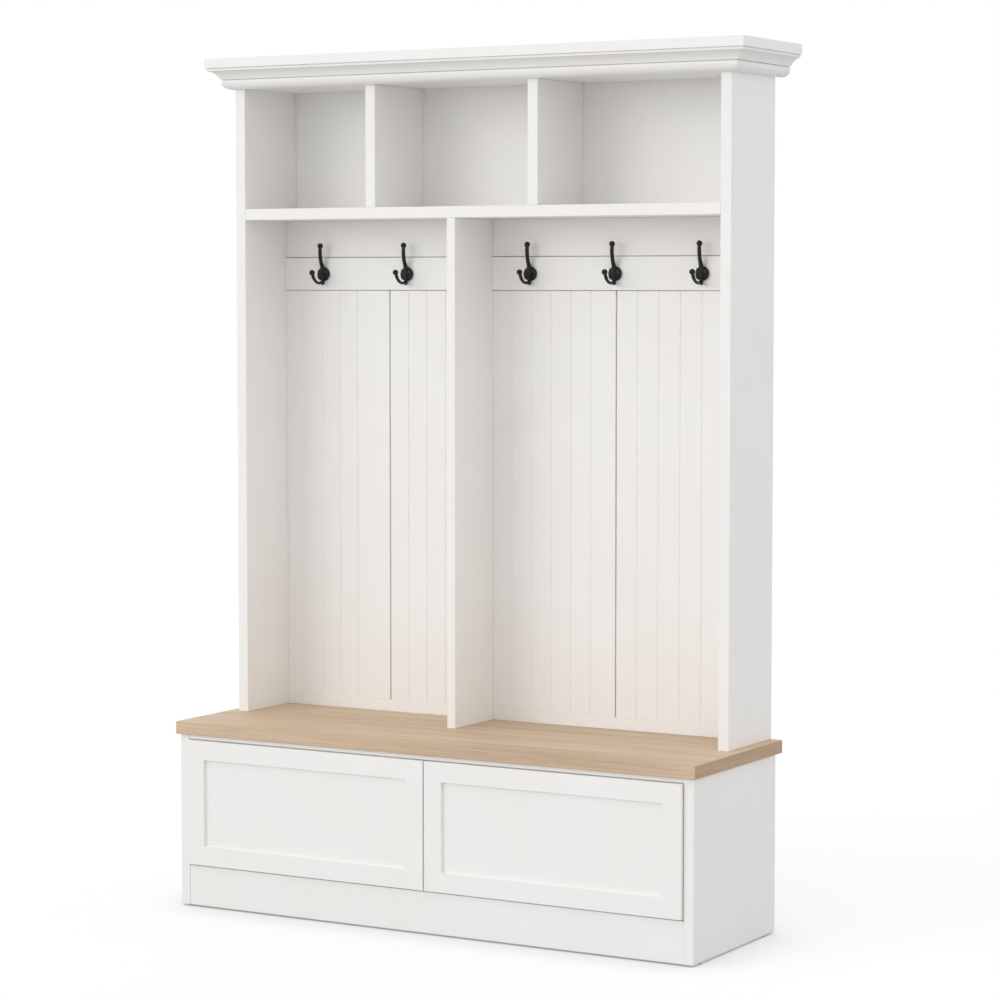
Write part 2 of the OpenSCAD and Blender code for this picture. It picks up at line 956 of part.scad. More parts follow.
base_side_left();
base_side_right();
base_partition();
base_bottom();
plinth();
seat_stretchers();
base_back();
seat_top();
floor_glides();
left_front_stiles();
left_front_rails();
left_front_panel();
left_drawer_subfront();
left_drawer_sides();
left_drawer_back();
left_drawer_bottom();
left_front_screws();
right_front_stiles();
right_front_rails();
right_front_panel();
right_drawer_subfront();
right_drawer_sides();
right_drawer_back();
right_drawer_bottom();
right_front_screws();
cabinet_slide_rails();
left_middle_slides();
right_middle_slides();
left_drawer_slides();
right_drawer_slides();
hutch_side_left();
hutch_side_right();
centre_divider();
shelf();
cubby_divider_left();
cubby_divider_right();
hutch_top();
cubby_back();
crown_nailer();
crown_front();
crown_left();
crown_right();
crown_cap();
beadboard_1();
beadboard_2();
beadboard_3();
beadboard_4();
foot_strips();
upper_boards();
hook_rail_left();
hook_rail_right();
bay_battens();
hook_1();
hook_2();
hook_3();
hook_4();
hook_5();
hook_screws();
knock_down_fittings();
wall_brackets();
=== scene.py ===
"""A white hall tree with an oak seat and black coat hooks: the looks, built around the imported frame.

Lengths are in metres in the CAD frame: X to the right, Y to the wall, Z up. Each piece's place and
outer size come from its CAD node's box or solids. Only the fine shapes are given here: the hooks, the
crown's section, the grooves, the rounded edges and the heads of the screws.
"""

import json
import math

import bmesh
import bpy
import numpy as np
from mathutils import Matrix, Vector


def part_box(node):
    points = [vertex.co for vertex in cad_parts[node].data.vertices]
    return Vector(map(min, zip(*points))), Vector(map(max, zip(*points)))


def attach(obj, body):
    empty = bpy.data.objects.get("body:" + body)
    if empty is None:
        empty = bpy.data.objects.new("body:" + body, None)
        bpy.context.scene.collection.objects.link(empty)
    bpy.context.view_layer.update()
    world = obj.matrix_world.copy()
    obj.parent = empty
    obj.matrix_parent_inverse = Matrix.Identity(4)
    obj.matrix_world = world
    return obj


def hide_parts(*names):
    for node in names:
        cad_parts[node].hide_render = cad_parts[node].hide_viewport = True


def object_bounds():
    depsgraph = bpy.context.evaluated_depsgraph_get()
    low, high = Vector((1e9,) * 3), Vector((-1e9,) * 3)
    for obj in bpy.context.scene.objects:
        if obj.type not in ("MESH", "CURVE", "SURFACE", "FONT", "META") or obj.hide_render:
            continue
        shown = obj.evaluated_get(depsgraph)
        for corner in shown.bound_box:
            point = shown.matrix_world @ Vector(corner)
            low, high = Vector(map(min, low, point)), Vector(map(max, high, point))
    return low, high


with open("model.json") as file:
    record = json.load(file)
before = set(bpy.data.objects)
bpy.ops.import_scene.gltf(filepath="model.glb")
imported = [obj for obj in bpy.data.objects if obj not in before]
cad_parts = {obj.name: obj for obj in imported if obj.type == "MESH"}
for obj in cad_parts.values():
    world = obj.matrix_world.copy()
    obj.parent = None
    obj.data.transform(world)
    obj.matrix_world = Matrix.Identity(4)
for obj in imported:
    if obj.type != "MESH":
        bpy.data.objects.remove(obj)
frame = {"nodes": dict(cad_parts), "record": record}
cad_low, cad_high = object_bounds()

MM = 0.001
EASE = 1.2 * MM  # radius of the eased edges of painted boards
SHARP = math.radians(38)  # edges that bend more than this stay crisp


# ---------------------------------------------------------------- materials


class Shading:
    """One material's node tree, around a Principled shader."""

    def __init__(self, name):
        self.material = bpy.data.materials.new(name)
        self.material.use_nodes = True
        self.tree = self.material.node_tree
        self.tree.nodes.clear()
        self.shader = self.add("ShaderNodeBsdfPrincipled")
        output = self.add("ShaderNodeOutputMaterial")
        self.tree.links.new(self.shader.outputs["BSDF"], output.inputs["Surface"])
        self.place = self.add("ShaderNodeTexCoord").outputs["Object"]

    def add(self, kind, **inputs):
        """A node; each input is a number, a colour or another node's output."""
        node = self.tree.nodes.new(kind)
        self.set(node, **inputs)
        return node

    def set(self, node, **inputs):
        """Sets a node's inputs by name, with _ for a space."""
        for name, value in inputs.items():
            socket = node.inputs[name.replace("_", " ")]
            if isinstance(value, bpy.types.NodeSocket):
                self.tree.links.new(value, socket)
            else:
                socket.default_value = value

    def stretched(self, scale, source=None):
        """The object's coordinates, scaled along each axis."""
        node = self.add("ShaderNodeMapping", Vector=source or self.place, Scale=scale)
        return node.outputs["Vector"]

    def noise(self, scale, detail=3.0, roughness=0.55, source=None, distortion=0.0):
        """Smooth random values about 0.5; scale is in waves a metre."""
        node = self.add(
            "ShaderNodeTexNoise",
            Vector=source or self.place,
            Scale=scale,
            Detail=detail,
            Roughness=roughness,
            Distortion=distortion,
        )
        return node.outputs["Fac"]

    def ramp(self, factor, *stops):
        """A colour ramp of (position, colour) stops."""
        node = self.add("ShaderNodeValToRGB", Fac=factor)
        elements = node.color_ramp.elements
        while len(elements) < len(stops):
            elements.new(0.5)
        for element, (position, colour) in zip(elements, stops):
            element.position = position
            element.color = (*colour, 1.0)
        return node.outputs["Color"]

    def remap(self, value, low, high, from_low=0.0, from_high=1.0):
        """Maps from_low..from_high to low..high, and clamps."""
        node = self.add("ShaderNodeMapRange")
        self.set(node, Value=value)
        node.inputs["From Min"].default_value = from_low
        node.inputs["From Max"].default_value = from_high
        node.inputs["To Min"].default_value = low
        node.inputs["To Max"].default_value = high
        return node.outputs["Result"]

    def math(self, operation, a, b=0.0):
        """One sum or product of values or outputs."""
        node = self.tree.nodes.new("ShaderNodeMath")
        node.operation = operation
        for socket, value in zip(node.inputs, (a, b)):
            if isinstance(value, bpy.types.NodeSocket):
                self.tree.links.new(value, socket)
            else:
                socket.default_value = value
        return node.outputs["Value"]

    def mix(self, factor, a, b, blend="MIX"):
        """Colour a, changed to b by factor."""
        node = self.tree.nodes.new("ShaderNodeMix")
        node.data_type = "RGBA"
        node.blend_type = blend
        for name, value in (("Factor_Float", factor), ("A_Color", a), ("B_Color", b)):
            socket = next(s for s in node.inputs if s.identifier == name)
            if isinstance(value, bpy.types.NodeSocket):
                self.tree.links.new(value, socket)
            elif name == "Factor_Float":
                socket.default_value = value
            else:
                socket.default_value = (*value, 1.0)
        return next(s for s in node.outputs if s.identifier == "Result_Color")

    def bump(self, height, distance, strength, under=None):
        """A relief from height, distance deep, on top of the relief under it."""
        node = self.add("ShaderNodeBump", Height=height, Distance=distance, Strength=strength)
        if under is not None:
            self.set(node, Normal=under)
        return node.outputs["Normal"]

    def wear(self):
        """1 on the eased edges of a board and 0 on its faces."""
        node = self.tree.nodes.new("ShaderNodeAttribute")
        node.attribute_name = "wear"
        return node.outputs["Fac"]


def white_lacquer():
    """Satin lacquer sprayed on MDF: a faint orange peel, uneven gloss, thinner on the edges."""
    s = Shading("white_lacquer")
    tone = (0.932, 0.921, 0.906)
    cloudy = s.noise(5.0, detail=4.0)
    warm = tuple(c * k for c, k in zip(tone, (0.988, 0.982, 0.974)))
    colour = s.ramp(cloudy, (0.36, warm), (0.64, tone))
    rubbed = s.math("MULTIPLY", s.wear(), s.noise(60.0, detail=5.0))
    worn = tuple(c * k for c, k in zip(tone, (0.93, 0.915, 0.89)))
    colour = s.mix(s.math("MULTIPLY", rubbed, 0.55), colour, worn)
    gloss = s.remap(s.noise(38.0, detail=4.0), 0.36, 0.48, 0.3, 0.7)
    gloss = s.math("ADD", gloss, s.math("MULTIPLY", rubbed, 0.12))
    peel = s.bump(s.noise(420.0, detail=2.0), 0.06 * MM, 0.5)
    normal = s.bump(s.noise(14.0, detail=2.0), 0.5 * MM, 0.12, under=peel)
    s.set(s.shader, Base_Color=colour, Roughness=gloss, Normal=normal, IOR=1.47)
    return s.material


def oak():
    """Light oak with a matt clear coat: the grain runs along X, and along Y on the two ends."""
    s = Shading("light_oak")
    normal = s.add("ShaderNodeNewGeometry").outputs["Normal"]
    facing = s.add("ShaderNodeSeparateXYZ", Vector=normal).outputs["X"]
    is_end = s.math("GREATER_THAN", s.math("ABSOLUTE", facing), 0.7)
    swap = s.add("ShaderNodeSeparateXYZ", Vector=s.place)
    turned = s.add(
        "ShaderNodeCombineXYZ", X=swap.outputs["Y"], Y=swap.outputs["X"], Z=swap.outputs["Z"]
    ).outputs["Vector"]
    along = s.mix(is_end, s.place, turned)
    drift = s.noise(2.2, detail=2.0, source=s.stretched((0.5, 2.0, 2.0), along))
    bands = s.noise(
        1.0, detail=5.0, roughness=0.6, source=s.stretched((1.1, 26.0, 30.0), along), distortion=0.5
    )
    fibres = s.noise(1.0, detail=4.0, roughness=0.7, source=s.stretched((5.0, 210.0, 210.0), along))
    pores = s.noise(1.0, detail=3.0, roughness=0.6, source=s.stretched((16.0, 620.0, 620.0), along))
    tone = s.math("ADD", s.math("MULTIPLY", bands, 0.62), s.math("MULTIPLY", drift, 0.38))
    colour = s.ramp(
        tone,
        (0.34, (0.565, 0.418, 0.285)),
        (0.47, (0.668, 0.508, 0.355)),
        (0.62, (0.75, 0.583, 0.42)),
    )
    streak = s.ramp(fibres, (0.36, (0.84, 0.80, 0.75)), (0.60, (1.0, 1.0, 1.0)))
    colour = s.mix(0.5, colour, streak, "MULTIPLY")
    open_pores = s.ramp(pores, (0.36, (0.72, 0.63, 0.54)), (0.46, (1.0, 1.0, 1.0)))
    colour = s.mix(0.4, colour, open_pores, "MULTIPLY")
    end_grain = s.math("MULTIPLY", is_end, 0.5)
    colour = s.mix(end_grain, colour, (0.52, 0.38, 0.27), "MULTIPLY")
    colour = s.mix(s.math("MULTIPLY", s.wear(), 0.35), colour, (0.52, 0.37, 0.25))
    gloss = s.remap(fibres, 0.62, 0.46, 0.3, 0.7)
    relief = s.bump(fibres, 0.12 * MM, 0.5)
    relief = s.bump(pores, 0.10 * MM, 0.5, under=relief)
    s.set(s.shader, Base_Color=colour, Roughness=gloss, Normal=relief, IOR=1.45)
    return s.material


def foil():
    """White foil on particle board, a little warmer and more matt than the lacquer."""
    s = Shading("drawer_foil")
    colour = s.ramp(s.noise(9.0, detail=4.0), (0.35, (0.76, 0.75, 0.715)), (0.65, (0.80, 0.79, 0.76)))
    colour = s.mix(s.math("MULTIPLY", s.wear(), 0.4), colour, (0.62, 0.56, 0.47))
    gloss = s.remap(s.noise(70.0, detail=4.0), 0.48, 0.6, 0.3, 0.7)
    print_grain = s.noise(1.0, detail=3.0, source=s.stretched((40.0, 6.0, 900.0)))
    s.set(
        s.shader,
        Base_Color=colour,
        Roughness=gloss,
        Normal=s.bump(print_grain, 0.08 * MM, 0.4),
        IOR=1.46,
    )
    return s.material


def black_iron():
    """Cast iron under a satin black coat: a pebbled skin, paler on its high spots, partly a worn coat
    and partly a painted highlight.
    """
    s = Shading("black_iron")
    cast = s.noise(620.0, detail=4.0, roughness=0.65)
    patches = s.noise(130.0, detail=3.0)
    colour = s.ramp(patches, (0.36, (0.006, 0.006, 0.0065)), (0.68, (0.020, 0.0195, 0.019)))
    # paler colour on the raised spots of the cast skin: partly worn coat, partly a painted highlight
    colour = s.mix(s.remap(cast, 0.0, 0.45, 0.58, 0.75), colour, (0.055, 0.053, 0.051))
    gloss = s.remap(cast, 0.28, 0.5, 0.3, 0.7)
    relief = s.bump(cast, 0.3 * MM, 0.8)
    relief = s.bump(patches, 0.6 * MM, 0.5, under=relief)
    s.set(s.shader, Base_Color=colour, Roughness=gloss, Normal=relief, IOR=1.5)
    s.set(s.shader, Specular_IOR_Level=0.3)
    return s.material


def zinc():
    """Bright zinc plating on pressed steel, with fine drawing lines along Y."""
    s = Shading("zinc_plate")
    lines = s.noise(1.0, detail=4.0, source=s.stretched((900.0, 12.0, 900.0)))
    spots = s.noise(85.0, detail=4.0)
    colour = s.ramp(spots, (0.35, (0.50, 0.51, 0.52)), (0.65, (0.66, 0.67, 0.68)))
    gloss = s.remap(lines, 0.26, 0.46, 0.3, 0.7)
    s.set(
        s.shader,
        Base_Color=colour,
        Roughness=gloss,
        Metallic=1.0,
        Normal=s.bump(lines, 0.04 * MM, 0.5),
    )
    return s.material


def nylon():
    """Dark moulded nylon with a fine spark-eroded grain."""
    s = Shading("glide_nylon")
    grain = s.noise(900.0, detail=3.0)
    colour = s.ramp(s.noise(90.0), (0.35, (0.035, 0.035, 0.037)), (0.65, (0.06, 0.06, 0.062)))
    s.set(
        s.shader,
        Base_Color=colour,
        Roughness=s.remap(grain, 0.5, 0.68, 0.3, 0.7),
        Normal=s.bump(grain, 0.08 * MM, 0.5),
    )
    return s.material


MATERIALS = {
    "white_paint": white_lacquer(),
    "oak_seat": oak(),
    "drawer_box": foil(),
    "black_iron": black_iron(),
    "zinc_steel": zinc(),
    "glide_plastic": nylon(),
}
SLOT_OF = {row["node"]: row["material_slot"] for row in frame["record"]["subparts"]}
BODY_OF = {
    node: body
    for body, nodes in frame["record"]["behaviour"]["bodies"].items()
    for node in nodes
}


# ---------------------------------------------------------------- mesh helpers


def finish_piece(bm, name, *nodes):
    """Turns bm into the piece that stands for these CAD nodes, on their body and in their slot."""
    bmesh.ops.recalc_face_normals(bm, faces=bm.faces)
    for face in bm.faces:
        face.smooth = True
    for edge in bm.edges:
        edge.smooth = not (edge.is_manifold and edge.calc_face_angle(0.0) > SHARP)
    mesh = bpy.data.meshes.new(name)
    bm.to_mesh(mesh)
    bm.free()
    return place_piece(mesh, name, *nodes)


def place_piece(mesh, name, *nodes):
    """An object of that mesh, which replaces the nodes and takes their body, slot and material."""
    piece = bpy.data.objects.new(name, mesh)
    bpy.context.scene.collection.objects.link(piece)
    slot = SLOT_OF[nodes[0]]
    if not mesh.materials:
        mesh.materials.append(MATERIALS[slot])
    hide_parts(*nodes)
    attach(piece, BODY_OF[nodes[0]])
    return piece


def weigh_normals(piece):
    """Keeps a board's flat faces flat beside its rounded edges."""
    modifier = piece.modifiers.new("flat_faces", "WEIGHTED_NORMAL")
    modifier.keep_sharp = True
    modifier.weight = 100
    return piece


def solids(node):
    """(lowest, highest) corner of each separate solid in a CAD node, from left to right."""
    bm = bmesh.new()
    bm.from_mesh(frame["nodes"][node].data)
    bmesh.ops.remove_doubles(bm, verts=bm.verts, dist=1e-6)
    seen = set()
    boxes = []
    for start in bm.verts:
        if start in seen:
            continue
        island = [start]
        seen.add(start)
        for vertex in island:
            for edge in vertex.link_edges:
                other = edge.other_vert(vertex)
                if other not in seen:
                    seen.add(other)
                    island.append(other)
        points = np.array([v.co for v in island])
        boxes.append((Vector(points.min(0)), Vector(points.max(0))))
    bm.free()
    return sorted(boxes, key=lambda box: tuple(round(c, 5) for c in box[0]))


def wear_layer(bm):
    """The face value that the materials' wear() reads."""
    return bm.faces.layers.float.get("wear") or bm.faces.layers.float.new("wear")


def mark_wear(bm, before, narrow):
    """Marks the faces that aren't in before and are narrower than narrow as eased edges."""
    layer = wear_layer(bm)
    for face in bm.faces:
        if face not in before:
            face[layer] = 1.0 if min(e.calc_length() for e in face.edges) < narrow else 0.0


def add_board(bm, low, high, ease):
    """A board between two corners, with every edge rounded over."""
    before = set(bm.faces)
    wear_layer(bm)
    corners = bmesh.ops.create_cube(bm, size=1.0)["verts"]
    for vertex in corners:
        vertex.co = Vector(
            low[axis] if vertex.co[axis] < 0 else high[axis] for axis in range(3)
        )
    edges = list({e for v in corners for e in v.link_edges})
    radius = min(ease, 0.45 * min(high[axis] - low[axis] for axis in range(3)))
    bmesh.ops.bevel(bm, geom=edges, offset=radius, segments=3, profile=0.5, affect="EDGES")
    mark_wear(bm, before, 1.05 * radius)


def boards(name, node, ease=EASE):
    """Stands for a CAD node that is one or more plain boards."""
    bm = bmesh.new()
    for low, high in solids(node):
        add_board(bm, low, high, ease)
    return weigh_normals(finish_piece(bm, name, node))


def arc(centre, radius, start, end, steps):
    """Points along an arc, in degrees anticlockwise from the first axis."""
    return [
        (
            centre[0] + radius * math.cos(math.radians(start + (end - start) * i / steps)),
            centre[1] + radius * math.sin(math.radians(start + (end - start) * i / steps)),
        )
        for i in range(steps + 1)
    ]


def loft(bm, rings):
    """A closed skin over rings of points, each ring a closed loop of the same length."""
    loops = [[bm.verts.new(point) for point in ring] for ring in rings]
    for one, two in zip(loops, loops[1:]):
        for i in range(len(one)):
            j = (i + 1) % len(one)
            bm.faces.new((one[i], one[j], two[j], two[i]))
    bm.faces.new(loops[0])
    bm.faces.new(reversed(loops[-1]))


def lathe(bm, place, axis, outline, steps=32):
    """Turns an outline of (radius, height) points about an axis at place; both ends close on it."""
    axis = Vector(axis).normalized()
    side = axis.orthogonal().normalized()
    other = axis.cross(side)
    rings = []
    for radius, height in outline:
        rings.append(
            [
                Vector(place)
                + axis * height
                + (side * math.cos(t) + other * math.sin(t)) * max(radius, 1e-5)
                for t in (2 * math.pi * i / steps for i in range(steps))
            ]
        )
    loft(bm, rings)


def drilled(piece, cutter_bm):
    """Cuts the shape in cutter_bm out of a piece's mesh."""
    cutter_mesh = bpy.data.meshes.new("cutter")
    bmesh.ops.recalc_face_normals(cutter_bm, faces=cutter_bm.faces)
    cutter_bm.to_mesh(cutter_mesh)
    cutter_bm.free()
    cutter = bpy.data.objects.new("cutter", cutter_mesh)
    bpy.context.scene.collection.objects.link(cutter)
    modifier = piece.modifiers.new("cut", "BOOLEAN")
    modifier.operation = "DIFFERENCE"
    modifier.solver = "EXACT"
    modifier.object = cutter
    bpy.context.view_layer.update()
    graph = bpy.context.evaluated_depsgraph_get()
    cut = bpy.data.meshes.new_from_object(piece.evaluated_get(graph))
    piece.modifiers.remove(modifier)
    old = piece.data
    piece.data = cut
    cut.name = piece.name
    bpy.data.meshes.remove(old)
    bpy.data.objects.remove(cutter)
    bpy.data.meshes.remove(cutter_mesh)
    return piece


# ---------------------------------------------------------------- painted boards

PLAIN_BOARDS = [
    "base_side_left",
    "base_side_right",
    "base_partition",
    "base_bottom",
    "plinth",
    "seat_stretchers",
    "base_back",
    "hutch_side_left",
    "hutch_side_right",
    "centre_divider",
    "shelf",
    "cubby_divider_left",
    "cubby_divider_right",
    "hutch_top",
    "cubby_back",
    "crown_nailer",
    "crown_cap",
    "foot_strips",
    "upper_boards",
    "hook_rail_left",
    "hook_rail_right",
    "bay_battens",
]


def cam_pockets(piece, node):
    """Cuts the round pockets for the cams that lie inside a board's box."""
    low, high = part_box(node)
    cutter = bmesh.new()
    for a, b in solids("knock_down_fittings"):
        size, middle = b - a, (a + b) / 2
        round_cam = abs(size.x - size.y) < 1 * MM and size.z < 20 * MM
        if round_cam and all(low[axis] < middle[axis] < high[axis] for axis in range(3)):
            above = high.z - b.z < a.z - low.z
            z0, z1 = (a.z, high.z + 1 * MM) if above else (low.z - 1 * MM, b.z)
            pocket = [(size.x / 2, 0.0), (size.x / 2, z1 - z0)]
            lathe(cutter, (middle.x, middle.y, z0), (0, 0, 1), pocket)
    drilled(piece, cutter)


for node in PLAIN_BOARDS:
    board = boards(node + "_board", node)
    if node in ("base_bottom", "shelf", "hutch_top"):
        cam_pockets(board, node)
boards("seat_board", "seat_top", ease=1.6 * MM)


# ---------------------------------------------------------------- beadboard


def groove_middles(node):
    """Where the grooves of a beadboard sheet lie along X: their roots are behind its face."""
    low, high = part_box(node)
    roots = {
        round(v.co.x, 5)
        for v in frame["nodes"][node].data.vertices
        if low.y + 0.5 * MM < v.co.y < high.y - 0.5 * MM
    }
    return sorted(roots)


def beadboard(name, node):
    """A sheet with rounded V grooves and eased long edges."""
    low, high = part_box(node)
    half, depth, lip = 1.7 * MM, 1.7 * MM, 0.5 * MM
    ease = 0.9 * MM
    face = [(low.x, ease)]
    face += [(low.x + ease * (1 - math.cos(t)), ease * (1 - math.sin(t))) for t in (0.8, 1.57)]
    for x in groove_middles(node):
        face += [
            (x - half - lip, 0.0),
            (x - half, 0.12 * depth),
            (x - 0.25 * half, 0.92 * depth),
            (x + 0.25 * half, 0.92 * depth),
            (x + half, 0.12 * depth),
            (x + half + lip, 0.0),
        ]
    face += [(high.x - ease * (1 - math.cos(t)), ease * (1 - math.sin(t))) for t in (1.57, 0.8)]
    face += [(high.x, ease), (high.x, high.y - low.y), (low.x, high.y - low.y)]
    bm = bmesh.new()
    loft(bm, [[(x, low.y + y, z) for x, y in face] for z in (low.z, high.z)])
    return weigh_normals(finish_piece(bm, name, node))


for number in (1, 2, 3, 4):
    beadboard(f"beadboard_sheet_{number}", f"beadboard_{number}")


# ---------------------------------------------------------------- crown moulding


def moulding_outline(height):
    """The moulding's section as (out, up) points: fillet, cove, lip, quirk and ovolo."""
    fillet_out, fillet_h = 44 * MM, 5.5 * MM
    cove_top, cove_foot, cove_r = 42.5 * MM, 23.5 * MM, 30 * MM
    step_z = 22 * MM
    lip_z = step_z - 1 * MM
    quirk_out, quirk_h = 18.5 * MM, 1.2 * MM
    ovolo_out, ovolo_r, ovolo_top = 22 * MM, 16 * MM, lip_z - quirk_h
    brow = 2.2 * MM  # rounding of the ovolo's upper edge
    soft = 0.7 * MM  # rounding of the fillet's edges
    top_z = height - fillet_h
    run, rise = cove_top - cove_foot, top_z - step_z
    chord = math.hypot(run, rise)
    reach = math.sqrt(cove_r**2 - chord**2 / 4)
    centre = (
        (cove_top + cove_foot) / 2 + reach * rise / chord,
        (top_z + step_z) / 2 - reach * run / chord,
    )
    start = math.degrees(math.atan2(top_z - centre[1], cove_top - centre[0]))
    end = math.degrees(math.atan2(step_z - centre[1], cove_foot - centre[0]))
    points = [(0.0, height)]
    points += arc((fillet_out - soft, height - soft), soft, 90, 0, 4)
    points += arc((fillet_out - soft, top_z + soft), soft, 0, -90, 4)
    points += arc(centre, cove_r, start, end, 20)
    points += [(cove_foot, lip_z), (quirk_out, lip_z), (quirk_out, ovolo_top)]
    points += arc((ovolo_out - brow, ovolo_top - brow), brow, 90, 0, 8)
    points += arc((ovolo_out - ovolo_r, ovolo_r), ovolo_r, 0, -90, 18)
    points += [(0.0, 0.0)]
    return points


def crown():
    """Three mitred lengths round the front and sides of the hutch."""
    front_low, front_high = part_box("crown_front")
    side_low, side_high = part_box("hutch_side_right")
    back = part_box("crown_right")[1].y
    outline = moulding_outline(front_high.z - front_low.z)
    wall_x, wall_y = side_high.x, side_low.y

    def ring(place):
        return [Vector(place(out)) + Vector((0, 0, front_low.z + up)) for out, up in outline]

    def corner(side):
        return ring(lambda out: (side * (wall_x + out), wall_y - out, 0.0))

    def end(side):
        return ring(lambda out: (side * (wall_x + out), back, 0.0))

    for name, node, rings in (
        ("crown_moulding_front", "crown_front", [corner(-1), corner(1)]),
        ("crown_moulding_left", "crown_left", [corner(-1), end(-1)]),
        ("crown_moulding_right", "crown_right", [corner(1), end(1)]),
    ):
        bm = bmesh.new()
        loft(bm, rings)
        weigh_normals(finish_piece(bm, name, node))


crown()


# ---------------------------------------------------------------- drawers


def drawer_frame(side):
    """The stiles and rails of one drawer front, painted over as one frame."""
    low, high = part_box(f"{side}_front_stiles")
    inner_low, inner_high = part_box(f"{side}_front_rails")
    rails = sorted(solids(f"{side}_front_rails"), key=lambda box: box[0].z)
    hole = (inner_low.x, inner_high.x, rails[0][1].z, rails[1][0].z)
    bm = bmesh.new()
    rings = []
    for y in (low.y, high.y):
        outer = [(low.x, low.z), (high.x, low.z), (high.x, high.z), (low.x, high.z)]
        inner = [(hole[0], hole[2]), (hole[1], hole[2]), (hole[1], hole[3]), (hole[0], hole[3])]
        rings.append([[bm.verts.new((x, y, z)) for x, z in loop] for loop in (outer, inner)])
    for i in range(4):
        j = (i + 1) % 4
        for one, two in ((rings[0][0], rings[0][1]), (rings[1][0], rings[1][1])):
            bm.faces.new((one[i], one[j], two[j], two[i]))
        for one, two in ((rings[0][0], rings[1][0]), (rings[0][1], rings[1][1])):
            bm.faces.new((one[i], one[j], two[j], two[i]))
    bmesh.ops.recalc_face_normals(bm, faces=bm.faces)
    mitres = {frozenset(pair) for ring in rings for pair in zip(ring[0], ring[1])}
    wear_layer(bm)
    eased = [e for e in bm.edges if frozenset(e.verts) not in mitres]
    bmesh.ops.bevel(bm, geom=eased, offset=0.9 * MM, segments=3, profile=0.5, affect="EDGES")
    mark_wear(bm, set(), 0.95 * MM)
    return weigh_normals(
        finish_piece(bm, f"{side}_shaker_frame", f"{side}_front_stiles", f"{side}_front_rails")
    )


for side in ("left", "right"):
    drawer_frame(side)
    boards(f"{side}_shaker_panel", f"{side}_front_panel", ease=0.4 * MM)
    for part in ("subfront", "sides", "back", "bottom"):
        boards(f"{side}_box_{part}", f"{side}_drawer_{part}", ease=0.6 * MM)


# ---------------------------------------------------------------- slides


def channel(bm, low, high, opens_to_right):
    """A rolled steel channel along Y: a web and two legs, with rounded bends."""
    sheet = 1.2 * MM
    w, h = high.x - low.x, (high.z - low.z) / 2
    r = 1.6 * MM

    def side_path(inset):
        path = [(w, h - inset)]
        path += arc((r, h - r), r - inset, 90, 180, 5)
        path += arc((r, -h + r), r - inset, 180, 270, 5)
        path += [(w, -h + inset)]
        return path

    outline = side_path(0.0) + list(reversed(side_path(sheet)))
    middle = (low.z + high.z) / 2
    place = (lambda u: low.x + u) if opens_to_right else (lambda u: high.x - u)
    loft(bm, [[(place(u), y, middle + v) for u, v in outline] for y in (low.y, high.y)])


def slides(name, node, opens):
    """The channels of one node; opens says for each, left to right, if it opens to the right."""
    bm = bmesh.new()
    for (low, high), to_right in zip(solids(node), opens):
        channel(bm, low, high, to_right)
    return finish_piece(bm, name, node)


slides("cabinet_channels", "cabinet_slide_rails", (True, False, True, False))
for side in ("left", "right"):
    slides(f"{side}_middle_channels", f"{side}_middle_slides", (True, False))
    slides(f"{side}_drawer_channels", f"{side}_drawer_slides", (False, True))


# ---------------------------------------------------------------- screws and fittings


def cross_cutter(bm, place, axis, size, depth):
    """Two crossed blades, for the recess of a screw head or cam."""
    axis = Vector(axis).normalized()
    side = axis.orthogonal().normalized()
    other = axis.cross(side)
    for long_way, short_way in ((side, other), (other, side)):
        a, b = long_way * size, short_way * size * 0.22
        corners = ((-1, -1), (1, -1), (1, 1), (-1, 1))
        mouth = [Vector(place) + axis * 0.5 * MM + u * a + v * b for u, v in corners]
        floor = [Vector(place) - axis * depth + u * a * 0.45 + v * b * 0.7 for u, v in corners]
        loft(bm, [mouth, floor])


def screw(bm, cutter, head, axis, head_r, head_t, shank_r, length):
    """A screw whose head's seat is at head; axis points out of the head, away from the shank."""
    rise = 0.25 * head_t
    outline = [(0.0, -length), (0.35 * shank_r, -length + 0.4 * MM), (shank_r, -length + 2.5 * MM)]
    turns = int((length - 5 * MM) / (1.6 * MM))
    for i in range(turns):
        z = -length + 2.5 * MM + i * 1.6 * MM
        outline += [(shank_r, z), (0.78 * shank_r, z + 0.8 * MM)]
    outline += [(shank_r, -2 * MM), (shank_r, 0.0), (head_r * 0.96, 0.0), (head_r, 0.3 * MM)]
    outline += [(head_r * math.cos(t), head_t - rise + rise * math.sin(t)) for t in (0.3, 0.7, 1.1, 1.5)]
    lathe(bm, head, axis, outline, steps=24)
    cross_cutter(cutter, Vector(head) + Vector(axis) * head_t, axis, head_r * 0.62, head_t * 0.7)


def hook_screws():
    """Two screws in each hook's plate, driven into the hook rail along Y."""
    bm, cutter = bmesh.new(), bmesh.new()
    for low, high in solids("hook_screws"):
        x, z = (low.x + high.x) / 2, (low.z + high.z) / 2
        seat = Vector((x, low.y + 1.6 * MM, z))
        screw(bm, cutter, seat, (0, -1, 0), (high.x - low.x) / 2, 1.6 * MM, 1.75 * MM, high.y - seat.y)
    return drilled(finish_piece(bm, "hook_screws_set", "hook_screws"), cutter)


def front_screws(side):
    """Four screws from inside a drawer box into its front."""
    bm, cutter = bmesh.new(), bmesh.new()
    for low, high in solids(f"{side}_front_screws"):
        seat = Vector(((low.x + high.x) / 2, high.y - 2 * MM, (low.z + high.z) / 2))
        screw(bm, cutter, seat, (0, 1, 0), (high.x - low.x) / 2, 2 * MM, 1.75 * MM, seat.y - low.y)
    return drilled(finish_piece(bm, f"{side}_front_screw_set", f"{side}_front_screws"), cutter)


